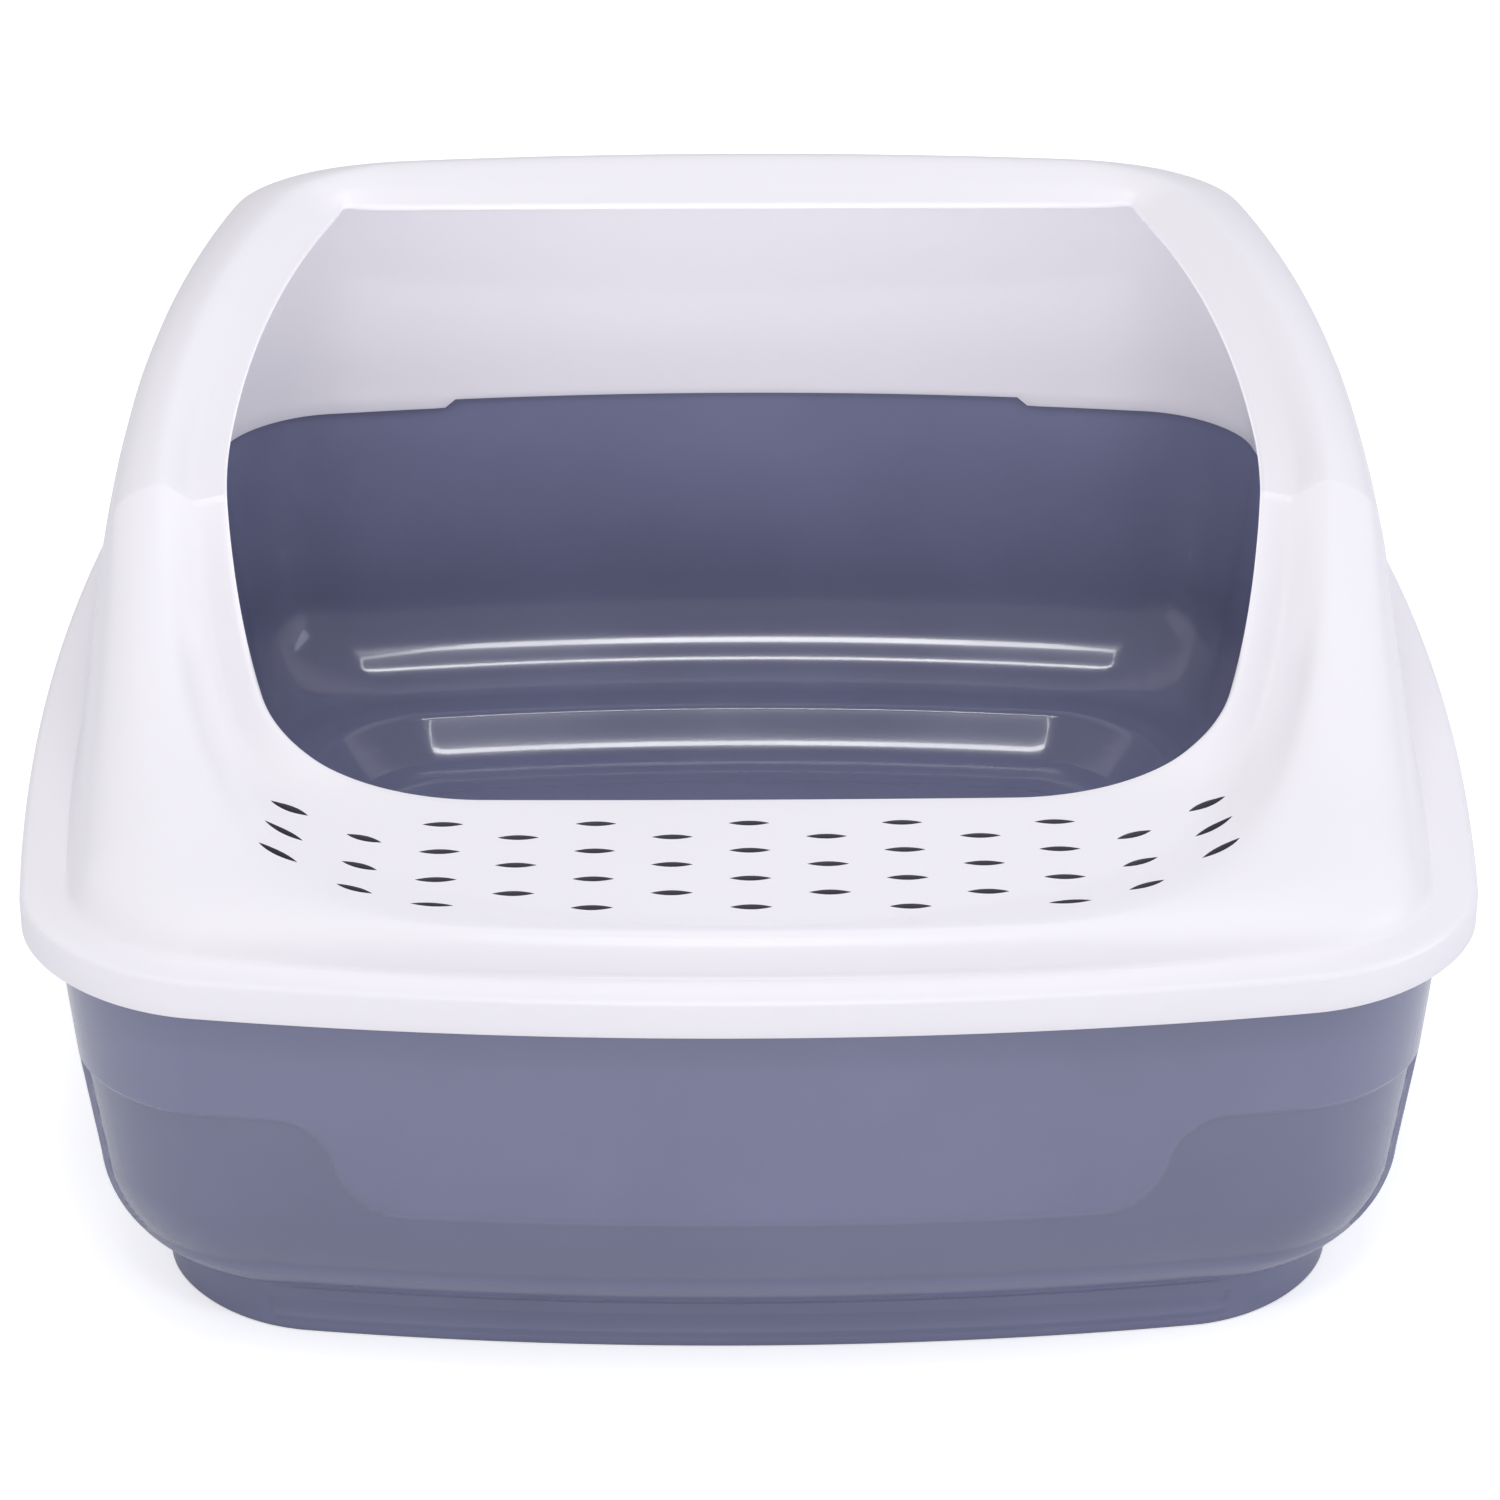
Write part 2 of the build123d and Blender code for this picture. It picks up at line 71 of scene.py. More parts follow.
def node(tree, kind, settings=None, inputs=None):
    """Adds a node; inputs maps a socket's name or number to a value or to another socket."""
    made = tree.nodes.new(kind)
    for name, value in (settings or {}).items():
        setattr(made, name, value)
    for key, value in (inputs or {}).items():
        socket = made.inputs[key]
        if isinstance(value, bpy.types.NodeSocket):
            tree.links.new(value, socket)
        else:
            socket.default_value = value
    return made


def new_material(name):
    """An empty node material with its output."""
    material = bpy.data.materials.new(name)
    material.use_nodes = True
    material.node_tree.nodes.clear()
    return material, material.node_tree


# Sizes and colours a user would change

class TraySettings(bpy.types.PropertyGroup):
    colour: FloatVectorProperty(
        name="Tray colour", description="Blue-grey of the tray's plastic",
        subtype="COLOR", size=4, min=0, max=1, default=linear("777A97"))
    height: FloatProperty(
        name="Tray height", description="Top of the tray's rolled rim above the floor",
        default=TRAY_HIGH.z, unit="LENGTH", subtype="DISTANCE")
    field_depth: FloatProperty(
        name="Field depth", description="How far the fields round the panels are set back",
        default=1.2 * MM, unit="LENGTH", subtype="DISTANCE")
    edge_width: FloatProperty(
        name="Step width", description="Width of the soft step at a panel's edge",
        default=1.5 * MM, unit="LENGTH", subtype="DISTANCE")
    roughness: FloatProperty(
        name="Tray roughness", description="Roughness of the moulded surface",
        default=0.14, min=0, max=1, subtype="FACTOR")


class RimSettings(bpy.types.PropertyGroup):
    colour: FloatVectorProperty(
        name="Rim colour", description="White of the rim's plastic",
        subtype="COLOR", size=4, min=0, max=1, default=linear("F1EEF3"))
    width: FloatProperty(
        name="Rim width", description="Width over the skirt",
        default=RIM_HIGH.x - RIM_LOW.x, unit="LENGTH", subtype="DISTANCE")
    length: FloatProperty(
        name="Rim length", description="Length over the skirt",
        default=RIM_HIGH.y - RIM_LOW.y, unit="LENGTH", subtype="DISTANCE")
    wall: FloatProperty(
        name="Wall", description="Thickness of the rim's moulding",
        default=2.4 * MM, unit="LENGTH", subtype="DISTANCE")
    roughness: FloatProperty(
        name="Rim roughness", description="Roughness of the moulded surface",
        default=0.30, min=0, max=1, subtype="FACTOR")


class SlotSettings(bpy.types.PropertyGroup):
    length: FloatProperty(
        name="Slot length", description="Length of a drain slot in the entry shelf",
        default=10.8 * MM, unit="LENGTH", subtype="DISTANCE")
    width: FloatProperty(
        name="Slot width", description="Width of a slot at its middle",
        default=2.8 * MM, unit="LENGTH", subtype="DISTANCE")
    pitch_x: FloatProperty(
        name="Column pitch", description="Distance between neighbouring columns",
        default=20.0 * MM, unit="LENGTH", subtype="DISTANCE")
    pitch_y: FloatProperty(
        name="Row pitch", description="Distance between the rows of one column",
        default=15.9 * MM, unit="LENGTH", subtype="DISTANCE")
    rows: IntProperty(
        name="Rows", description="Rows in the longer columns", default=4, min=2, max=6)


class StageSettings(bpy.types.PropertyGroup):
    key_power: FloatProperty(
        name="Softbox", description="Power of the edged softbox above and in front",
        default=6.8, min=0, unit="POWER")
    front_power: FloatProperty(
        name="Front light", description="Power of the large light behind the camera",
        default=5.0, min=0, unit="POWER")
    above_power: FloatProperty(
        name="Light above", description="Power of the light over the back of the tray",
        default=5.2, min=0, unit="POWER")
    inside_power: FloatProperty(
        name="Inside card", description="Light of the white card that brightens the hood",
        default=0.43, min=0, unit="POWER")
    fill_power: FloatProperty(
        name="Fill lights", description="Power that the weak left and strong right light share",
        default=2.0, min=0, unit="POWER")
    floor_colour: FloatVectorProperty(
        name="Floor colour", description="Pale studio floor",
        subtype="COLOR", size=4, min=0, max=1, default=linear("F3F3F5"))


# Plan outlines, in millimetres as the maker would draw them

class Outline:
    """A bowed rectangle with rounded corners, alike left and right."""

    def __init__(self, half_w, front, back, corners, bows, ends):
        self.half_w = half_w
        self.front = front
        self.back = back
        self.corners = corners
        self.bows = bows
        self.ends = ends

    def beyond(self, x, y):
        """Distance outside the outline, negative inside."""
        ahead = y < 0
        end = np.where(ahead, self.front, self.back)
        corner = np.where(ahead, self.corners[0], self.corners[1])
        bow = np.where(ahead, self.bows[0], self.bows[1])
        side = np.hypot(np.abs(x) - (self.half_w - bow), y) - (bow - corner)
        across = np.hypot(x, np.abs(y) - (end - self.ends)) - (self.ends - corner)
        outside = np.hypot(np.maximum(side, 0), np.maximum(across, 0))
        return outside + np.minimum(np.maximum(side, across), 0) - corner

    def reach(self, angles):
        """Distance from the middle to the outline in each direction."""
        near = np.zeros_like(angles)
        far = np.full_like(angles, 400.0)
        for _ in range(48):
            middle = (near + far) / 2
            outside = self.beyond(middle * np.cos(angles), middle * np.sin(angles)) > 0
            far = np.where(outside, middle, far)
            near = np.where(outside, near, middle)
        return near


def plan(rim, inset_side, inset_end=None, corner=None):
    """The skirt's outline moved inward."""
    if inset_end is None:
        inset_end = inset_side
    if corner is None:
        corner = 40.0 - inset_side
    half_w = rim.width / MM / 2
    half_l = rim.length / MM / 2
    return Outline(half_w - inset_side, half_l - inset_end, half_l - inset_end,
                   (corner, corner), (1240.0 - inset_side,) * 2, 850.0 - inset_end)


def even_directions(outlines, count, dense):
    """Directions round the plan, closer together where an outline turns or dense() asks."""
    fine = np.linspace(-math.pi, math.pi, 24001)
    total = np.zeros_like(fine)
    for outline in outlines:
        r = outline.reach(fine)
        x, y = r * np.cos(fine), r * np.sin(fine)
        step = np.hypot(np.diff(x), np.diff(y))
        heading = np.unwrap(np.arctan2(np.diff(y), np.diff(x)))
        turn = np.abs(np.diff(heading, prepend=heading[0]))
        weight = step * (1 + 3.0 * dense(x[:-1], y[:-1])) + 150.0 * turn
        total[1:] += np.cumsum(weight)
    wanted = total[-1] * (np.arange(count) + 0.5) / count
    angles = np.interp(wanted, total, fine)
    half = angles[(angles > -math.pi / 2) & (angles < math.pi / 2)]
    return np.concatenate([half, math.pi - half[::-1]])


def hermite(points, samples):
    """Smooth line through the points, for all directions at once, that never overshoots.
    points is a list of (r, z) arrays."""
    p = np.array([[r, z] for r, z in points])
    spans = np.hypot(*(p[1:] - p[:-1]).transpose(1, 0, 2))
    steps = (p[1:] - p[:-1]) / spans[:, None, :]
    slopes = [steps[0]]
    for i in range(len(steps) - 1):
        left, right = steps[i], steps[i + 1]
        w0 = 2 * spans[i + 1] + spans[i]
        w1 = spans[i + 1] + 2 * spans[i]
        same = left * right > 0
        safe_left = np.where(same, left, 1.0)
        safe_right = np.where(same, right, 1.0)
        slopes.append(np.where(same, (w0 + w1) / (w0 / safe_left + w1 / safe_right), 0.0))
    slopes.append(steps[-1])
    line = []
    for i, count in enumerate(samples):
        for k in range(count):
            t = k / count
            line.append(
                (1 + 2 * t) * (1 - t) ** 2 * p[i] + t * (1 - t) ** 2 * spans[i] * slopes[i]
                + t ** 2 * (3 - 2 * t) * p[i + 1] + t ** 2 * (t - 1) * spans[i] * slopes[i + 1])
    line.append(p[-1])
    return line


def smoothstep(value):
    t = np.clip(value, 0, 1)
    return t * t * (3 - 2 * t)


def band_mesh(name, rings, closed):
    """Mesh from rings of points (n, 3) in millimetres; closed joins the last ring to the
    first, otherwise both ends are closed with a fan."""
    count = len(rings[0])
    points = np.concatenate(rings)
    number = len(rings)
    faces = []
    pairs = number if closed else number - 1
    here = np.arange(count)
    after = (here + 1) % count
    for i in range(pairs):
        a = i * count
        b = ((i + 1) % number) * count
        faces.append(np.stack([a + here, a + after, b + after, b + here], axis=1))
    quads = np.concatenate(faces).tolist()
    if not closed:
        middles = [rings[0].mean(0), rings[-1].mean(0)]
        points = np.concatenate([points, np.array(middles)])
        first = number * count
        last = (number - 1) * count
        quads += [(first, int(j), int(i)) for i, j in zip(here, after)]
        quads += [(first + 1, int(last + i), int(last + j)) for i, j in zip(here, after)]
    mesh = bpy.data.meshes.new(name)
    mesh.from_pydata((points * MM).tolist(), [], quads)
    mesh.update()
    return mesh


def finish_mesh(mesh, sharp_degrees):
    """Faces outwards, smooth, with the real edges left crisp."""
    work = bmesh.new()
    work.from_mesh(mesh)
    bmesh.ops.remove_doubles(work, verts=work.verts, dist=1e-6)
    bmesh.ops.recalc_face_normals(work, faces=work.faces)
    if work.calc_volume(signed=True) < 0:
        bmesh.ops.reverse_faces(work, faces=work.faces)
    work.to_mesh(mesh)
    work.free()
    mesh.polygons.foreach_set("use_smooth", [True] * len(mesh.polygons))
    mesh.set_sharp_from_angle(angle=math.radians(sharp_degrees))
    mesh.update()


def show(name, mesh):
    made = bpy.data.objects.new(name, mesh)
    bpy.context.scene.collection.objects.link(made)
    return made


# Tray

PLINTH_SIDE = 32.0
PLINTH_END = 37.0
PLINTH_CORNER = 34.0
PLINTH_TOP = 14.5
PLINTH_FIELD_HALF = 128.0
PLINTH_FIELD_DEPTH = 0.7
CURVE_FOOT = 13.5
TURN_HEIGHT = 50.0
TURN_INSET = 16.0
BAND_HEIGHT = 80.0
BAND_INSET = 12.0
TOP_INSET = 8.2
LEDGE = 15.5
FLOOR_TOP = 2.4
PANEL_BOTTOM = 51.0
PANEL_TOP = 109.0
PANEL_FOOT = 101.5
PANEL_CORNER = 12.0
FIELD_BOTTOM = 27.0
FIELD_END = 182.0
DISH_EDGE = 18.0
DISH_RUN = 12.0
DISH_POWER = 1.85
EDGE_ROLL = 2.4
INNER_SKIN = 3.2


def tray_directions(rim):
    """Directions with more of them at the corners and at the panel's slanted sides."""
    def dense(x, y):
        return ((np.abs(x) > 95) & (np.abs(x) < 122) & (np.abs(y) > 150)).astype(float)

    return even_directions([plan(rim, 12.0)], 620, dense)


def curve_level(share, depth, foot_height):
    """One level of the rounded bottom: height, side and end inset, corner radius."""
    power = 2 / 1.6
    angle = math.pi / 2 * share
    height = foot_height + (TURN_HEIGHT - foot_height) * (1 - math.cos(angle) ** power)
    part = math.sin(angle) ** power
    foot_side = PLINTH_SIDE + 3.0 + depth
    foot_end = PLINTH_END + 3.0 + depth
    foot_corner = PLINTH_CORNER - depth
    side = foot_side + (TURN_INSET + depth - foot_side) * part
    end = foot_end + (TURN_INSET + depth - foot_end) * part
    corner = foot_corner + (40.0 - TURN_INSET - depth - foot_corner) * part
    return height, side, end, corner


def wall_inset(height):
    """Inset of the tray's outer wall above the rounded bottom."""
    if height < BAND_HEIGHT:
        return TURN_INSET + (BAND_INSET - TURN_INSET) * (height - TURN_HEIGHT) / 30.0
    return BAND_INSET + (TOP_INSET - BAND_INSET) * (height - BAND_HEIGHT) / 41.5


def panel_beyond(x, z):
    """Distance outside the front panel: slanted sides, flat lower edge, round corners."""
    lean = math.atan2(PANEL_TOP - PANEL_FOOT, BAND_HEIGHT - PANEL_BOTTOM)
    side = (np.abs(x) - (PANEL_FOOT + (z - PANEL_BOTTOM) * math.tan(lean))) * math.cos(lean)
    below = PANEL_BOTTOM - z
    q = np.hypot(np.maximum(side + PANEL_CORNER, 0), np.maximum(below + PANEL_CORNER, 0))
    inner = np.minimum(np.maximum(side + PANEL_CORNER, below + PANEL_CORNER), 0)
    return q + inner - PANEL_CORNER


def field_share(points, step):
    """1 in the fields set back round the panels, 0 on the panels and the band."""
    x, y, z = points.T
    panel = panel_beyond(x, z)
    under = BAND_HEIGHT - z
    away = np.hypot(np.maximum(PANEL_CORNER - panel, 0), np.maximum(PANEL_CORNER - under, 0))
    inside = np.minimum(np.minimum(panel, under), PANEL_CORNER - away)
    inside = np.minimum(inside, z - FIELD_BOTTOM)
    inside = np.minimum(inside, np.abs(y) - FIELD_END)
    return smoothstep(inside / step)


def tray_rings(settings, rim):
    """Rings from the middle of the underside, up the outside and down to the floor."""
    directions = tray_directions(rim)

    def ring(height, side, end=None, corner=None):
        r = plan(rim, side, end, corner).reach(directions)
        return np.stack([r * np.cos(directions), r * np.sin(directions),
                         np.full_like(r, height)], axis=1)

    def plinth_ring(height, inset):
        return ring(height, PLINTH_SIDE + inset, PLINTH_END + inset,
                    PLINTH_CORNER - inset / 3)

    top = settings.height / MM
    rings = [plinth_ring(0.0, 110.0), plinth_ring(0.0, 60.0), plinth_ring(0.0, 28.0),
             plinth_ring(0.4, 27.2), plinth_ring(2.2, 27.0)]
    for share in (0.30, 0.5, 0.7, 0.88):
        angle = math.pi / 2 * share
        rise = (LEDGE + 1 - FLOOR_TOP) * (1 - math.cos(angle)) + FLOOR_TOP - 2.6
        rings.append(plinth_ring(rise, DISH_EDGE + DISH_RUN * (1 - math.sin(angle)) - 3.0))
    rings += [plinth_ring(12.3, 14.0), plinth_ring(12.3, 3.4), plinth_ring(12.0, 3.0),
              plinth_ring(0.4, 3.0), plinth_ring(0.0, 2.6), plinth_ring(0.0, 1.4),
              plinth_ring(0.25, 0.5), plinth_ring(0.8, 0.1), plinth_ring(1.4, 0.0)]

    # plinth face with a shallow field on its front and back
    for height in (2.4, 3.0, 3.6, 6.5, 9.4, 10.0, 10.6):
        made = plinth_ring(height, 0.0)
        inside = np.minimum(np.minimum(height - 2.8, 10.2 - height),
                            PLINTH_FIELD_HALF - np.abs(made[:, 0]))
        inside = np.minimum(inside, np.abs(made[:, 1]) - 150.0)
        share = PLINTH_FIELD_DEPTH * smoothstep(inside / 0.9)
        made[:, :2] *= 1 - (share / np.hypot(made[:, 0], made[:, 1]))[:, None]
        rings.append(made)
    rings += [plinth_ring(12.8, 0.0), plinth_ring(13.8, 0.1), plinth_ring(14.3, 0.5),
              plinth_ring(PLINTH_TOP, 1.2)]

    # rounded bottom and wall, with the fields set back
    walls = []
    for share in np.linspace(0.155, 1.0, 22):
        height, side, end, corner = curve_level(share, 0.0, CURVE_FOOT)
        walls.append(ring(height, side, end, corner))
    heights = list(np.linspace(51.0, 76.0, 12))
    heights += list(np.arange(77.0, 83.1, 0.6)) + [86.0, 92.0, 99.0, 106.0, 112.0, 117.0]
    for height in heights:
        walls.append(ring(height, wall_inset(height)))
    for made in walls:
        share = field_share(made, settings.edge_width / MM)
        depth = share * settings.field_depth / MM
        made[:, :2] *= 1 - (depth / np.hypot(made[:, 0], made[:, 1]))[:, None]
    rings += walls

    # rolled rim
    rings += [ring(top - 2.7, TOP_INSET + 0.1), ring(top - 2.4, TOP_INSET - 0.3),
              ring(top - 2.4, 5.6), ring(top - 2.7, 5.2), ring(top - 9.2, 5.2),
              ring(top - 9.5, 4.9), ring(top - 9.5, 3.5), ring(top - 9.2, 3.2),
              ring(top - 1.2, 3.2), ring(top - 0.35, 3.55), ring(top, 4.4),
              ring(top, 8.0), ring(top, 10.5), ring(top - 0.25, 11.1),
              ring(top - 0.9, 11.5)]

    # inside wall, rounded bottom, ledge, dish and floor
    for height in (117.0, 110.0, 100.0, 90.0, 82.0, 80.0, 78.0, 70.0, 60.0):
        rings.append(ring(height, wall_inset(height) + INNER_SKIN))
    for share in np.linspace(1.0, 0.03, 20):
        height, side, end, corner = curve_level(share, INNER_SKIN, LEDGE)
        rings.append(ring(height, side, end, corner))
    rings.append(plinth_ring(LEDGE, 8.0))
    for turn in np.linspace(0.0, 42.0, 7):
        angle = math.radians(turn)
        rings.append(plinth_ring(LEDGE - EDGE_ROLL * (1 - math.cos(angle)),
                                 DISH_EDGE - 1.2 + EDGE_ROLL * math.sin(angle)))
    for share in np.linspace(0.84, 0.0, 14):
        rise = 1 - math.cos(math.pi / 2 * share) ** DISH_POWER
        run = 1 - math.sin(math.pi / 2 * share) ** DISH_POWER
        rings.append(plinth_ring(FLOOR_TOP + (LEDGE - FLOOR_TOP) * rise,
                                 DISH_EDGE + 0.4 + (DISH_RUN - 0.4) * run))
    rings += [ring(FLOOR_TOP, 66.0, 87.0, 30.0), ring(FLOOR_TOP, 69.2, 91.2, 30.0),
              ring(FLOOR_TOP + 0.15, 69.8, 91.8, 30.0),
              ring(FLOOR_TOP + 0.65, 70.4, 92.4, 30.0),
              ring(FLOOR_TOP + 0.8, 71.2, 93.2, 30.0),
              ring(FLOOR_TOP + 0.8, 110.0, 130.0, 28.0)]
    return rings


def mark_fields(mesh, settings):
    """Stores how far each outside point lies in a field, for the painted shade that darkens the
    recessed fields.
    """
    points = np.zeros(len(mesh.vertices) * 3)
    mesh.vertices.foreach_get("co", points)
    points = points.reshape(-1, 3) / MM
    facing = np.zeros(len(mesh.vertices) * 3)
    mesh.vertex_normals.foreach_get("vector", facing)
    outside = (points[:, :2] * facing.reshape(-1, 3)[:, :2]).sum(1) > 0
    share = field_share(points, settings.edge_width / MM) * outside
    mesh.attributes.new("field", "FLOAT", "POINT").data.foreach_set("value", share)


def tray_plastic(settings):
    """Blue-grey polypropylene: deep, slightly cloudy colour under a bright moulded gloss."""
    material, tree = new_material("bluegrey_polypropylene")
    place = node(tree, "ShaderNodeTexCoord")
    cloud = node(tree, "ShaderNodeTexNoise", None, {
        "Vector": place.outputs["Object"], "Scale": 14.0, "Detail": 3.0, "Roughness": 0.55})
    tint = node(tree, "ShaderNodeMapRange", None, {
        "Value": cloud.outputs[0], "From Min": 0.3, "From Max": 0.7,
        "To Min": 0.95, "To Max": 1.05})
    colour = node(tree, "ShaderNodeMix", {"data_type": "RGBA", "blend_type": "MULTIPLY"}, {
        0: 1.0, 6: tuple(settings.colour), 7: tint.outputs[0]})
    wave = node(tree, "ShaderNodeTexNoise", None, {
        "Vector": place.outputs["Object"], "Scale": 16.0, "Detail": 0.0})
    # painted shade: the recessed fields round the panels are drawn darker than the panels
    field = node(tree, "ShaderNodeAttribute", {"attribute_name": "field"})
    field_painted_shade = node(tree, "ShaderNodeMapRange", None, {
        "Value": field.outputs["Fac"], "To Min": 1.0, "To Max": 0.88})
    shaded = node(tree, "ShaderNodeMix", {"data_type": "RGBA", "blend_type": "MULTIPLY"}, {
        0: 1.0, 6: colour.outputs[2], 7: field_painted_shade.outputs[0]})
    gloss = node(tree, "ShaderNodeMapRange", None, {
        "Value": cloud.outputs[0], "From Min": 0.3, "From Max": 0.7,
        "To Min": settings.roughness - 0.02, "To Max": settings.roughness + 0.03})
    bump = node(tree, "ShaderNodeBump", None, {
        "Strength": 0.06, "Distance": 0.001, "Height": wave.outputs[0]})
    shader = node(tree, "ShaderNodeBsdfPrincipled", None, {
        "Base Color": shaded.outputs[2], "Roughness": gloss.outputs[0],
        "Normal": bump.outputs[0], "IOR": 1.49, "Coat Weight": 0.5,
        "Coat Roughness": 0.04})
    node(tree, "ShaderNodeOutputMaterial", None, {"Surface": shader.outputs[0]})
    return material


class LITTERTRAY_OT_tray(bpy.types.Operator):
    """Builds the blue-grey tray with its panels, plinth, dished floor and rolled rim"""
    bl_idname = "littertray.tray"
    bl_label = "Tray"

    def execute(self, context):
        settings = context.scene.litter_tray
        rings = tray_rings(settings, context.scene.litter_rim)
        mesh = band_mesh("tray_moulding", rings, False)
        finish_mesh(mesh, 50)
        mark_fields(mesh, settings)
        made = show("tray_moulding", mesh)
        made.data.materials.append(tray_plastic(settings))
        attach(made, "tray")
        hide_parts("tray_base")
        return {"FINISHED"}


# High rim

SEAT = 121.5
STRIP_TOP = 123.9
SKIRT_HEIGHT = 10.0
STRIP_INSET = 12.625
LIP_DROP = 9.0
NOTCH_HALF = 102.0
NOTCH_RISE = 3.0
CREASE_Y = -37.0
CROWN_HALF = 166.5
RIDGE = 134.0
SHELF = 131.6
BACK = 207.5
CREASE_TOP = 182.5
BACK_LIP = 200.0
CREASE_LIP = 177.0
CREASE_VALLEY = 176.3
EDGE_ROUND = 1.2
SHELF_THINNER = 0.8
LINE_SAMPLES = (6, 6, 6, 5, 10, 12, 4)
CROWN_POINT = sum(LINE_SAMPLES[:4])
GUTTER_POINT = sum(LINE_SAMPLES[:5])
LIP_POINTS = 12
SLOTS_FRONT = -204.0
SLOTS_BACK = -139.5
CORNER_SLOTS_BACK = -135.5
CORNER_SLOTS_SIDE = 115.0
SLOTS_SIDE = 130.0


def rim_outlines():
    """The crown's line, the gutter's line and the opening's edge."""
    crown = Outline(CROWN_HALF, 216.0, 197.0, (35.0, 28.0), (430.0, 640.0), 850.0)
    gutter = Outline(157.0, 208.0, 186.0, (45.0, 18.0), (300.0, 640.0), 850.0)
    opening = Outline(148.3, 136.0, 168.5, (40.0, 3.0), (300.0, 680.0), 6000.0)
    return crown, gutter, opening


def sweep(y, start, end, high, low, exponent):
    """A height that falls from the crease to the front in a concave sweep."""
    part = np.clip((start - y) / (start - end), 0, 1)
    return low + (high - low) * (1 - part) ** exponent


def rear_part(y):
    return np.clip((197.0 - y) / (197.0 - CREASE_Y), 0, 1)


def crown_height(y):
    rear = BACK - (BACK - CREASE_TOP) * rear_part(y) ** 2
    return np.where(y < CREASE_Y, sweep(y, CREASE_Y, -216.0, CREASE_TOP, RIDGE, 2.5), rear)


def gutter_height(y, crease):
    drop = 2.5 + (CREASE_TOP - CREASE_VALLEY - 2.5) * rear_part(y)
    ahead = sweep(y, crease, -136.0, CREASE_VALLEY, SHELF, 1.8)
    return np.where(y < crease, ahead, crown_height(y) - drop)


def lip_height(y, crease):
    drop = (BACK - BACK_LIP) + ((CREASE_TOP - CREASE_LIP) - (BACK - BACK_LIP)) * rear_part(y) ** 4
    ahead = sweep(y, crease, -136.0, CREASE_LIP, SHELF, 1.4)
    return np.where(y < crease, ahead, crown_height(y) - drop)


def rim_directions(rim):
    """Directions, closer at corners and at the crease, with one column on the crease."""
    opening = rim_outlines()[2]

    def dense(x, y):
        near_crease = np.abs(y / np.maximum(np.abs(x), 1) - CREASE_Y / CROWN_HALF) < 0.05
        return near_crease.astype(float)

    angles = even_directions([plan(rim, 0.0), opening], 640, dense)
    crease = math.atan2(CREASE_Y, CROWN_HALF)
    for exact in (crease, math.pi - crease):
        angles[np.argmin(np.abs(angles - exact))] = exact
    return angles


def sheet_line(rim, angles):
    """Outer line of the raised wall at each direction, from its foot to the opening."""
    crown, gutter, opening = rim_outlines()
    foot = plan(rim, STRIP_INSET).reach(angles)
    sine = np.sin(angles)
    crease = math.atan2(CREASE_Y, CROWN_HALF)
    at_crease = np.array([crease])
    crown_r = crown.reach(angles)
    gutter_r = gutter.reach(angles)
    lip_r = opening.reach(angles)
    crown_z = crown_height(crown_r * sine)
    gutter_z = gutter_height(gutter_r * sine, float(gutter.reach(at_crease)[0] * math.sin(crease)))
    lip_z = lip_height(lip_r * sine, float(opening.reach(at_crease)[0] * math.sin(crease)))
    run = foot - crown_r
    rise = crown_z - STRIP_TOP
    rear = np.clip((rise - 12.0) / 60.0, 0, 1)
    shoulder_r = foot - (0.34 + 0.10 * rear) * run
    shoulder_z = STRIP_TOP + (0.74 + 0.19 * rear) * rise
    below = (foot - 0.45 * (foot - shoulder_r), STRIP_TOP + 0.66 * (shoulder_z - STRIP_TOP))
    above = ((shoulder_r + crown_r) / 2, shoulder_z + 0.75 * (crown_z - shoulder_z))
    past_r = lip_r - 8.0
    past_z = lip_z + 0.3 * (lip_z - gutter_z)
    points = [(foot, np.full_like(foot, STRIP_TOP)), below, (shoulder_r, shoulder_z), above,
              (crown_r, crown_z), (gutter_r, gutter_z), (lip_r, lip_z), (past_r, past_z)]
    line = hermite(points, LINE_SAMPLES)
    edge = lip_r + EDGE_ROUND
    kept = line[:GUTTER_POINT]
    tail = np.array([[r, z] for r, z in line[GUTTER_POINT:]])
    for share in np.linspace(0.0, 1.0, LIP_POINTS):
        r = tail[0, 0] + (edge - tail[0, 0]) * share
        z = np.array([
            np.interp(-r[k], -tail[:, 0, k], tail[:, 1, k]) for k in range(len(angles))])
        kept.append(np.array([r, z]))
    return kept


def offset(line, stretch, distances):
    """The line moved to its inner side, square to its slope, one distance a point."""
    moved = []
    for i, (point, distance) in enumerate(zip(line, distances)):
        before = line[max(i - 1, 0)]
        after = line[min(i + 1, len(line) - 1)]
        dr = (after[0] - before[0]) / stretch
        dz = after[1] - before[1]
        length = np.maximum(np.hypot(dr, dz), 1e-9)
        moved.append(np.array([point[0] - distance * stretch * dz / length,
                               point[1] + distance * dr / length]))
    return moved


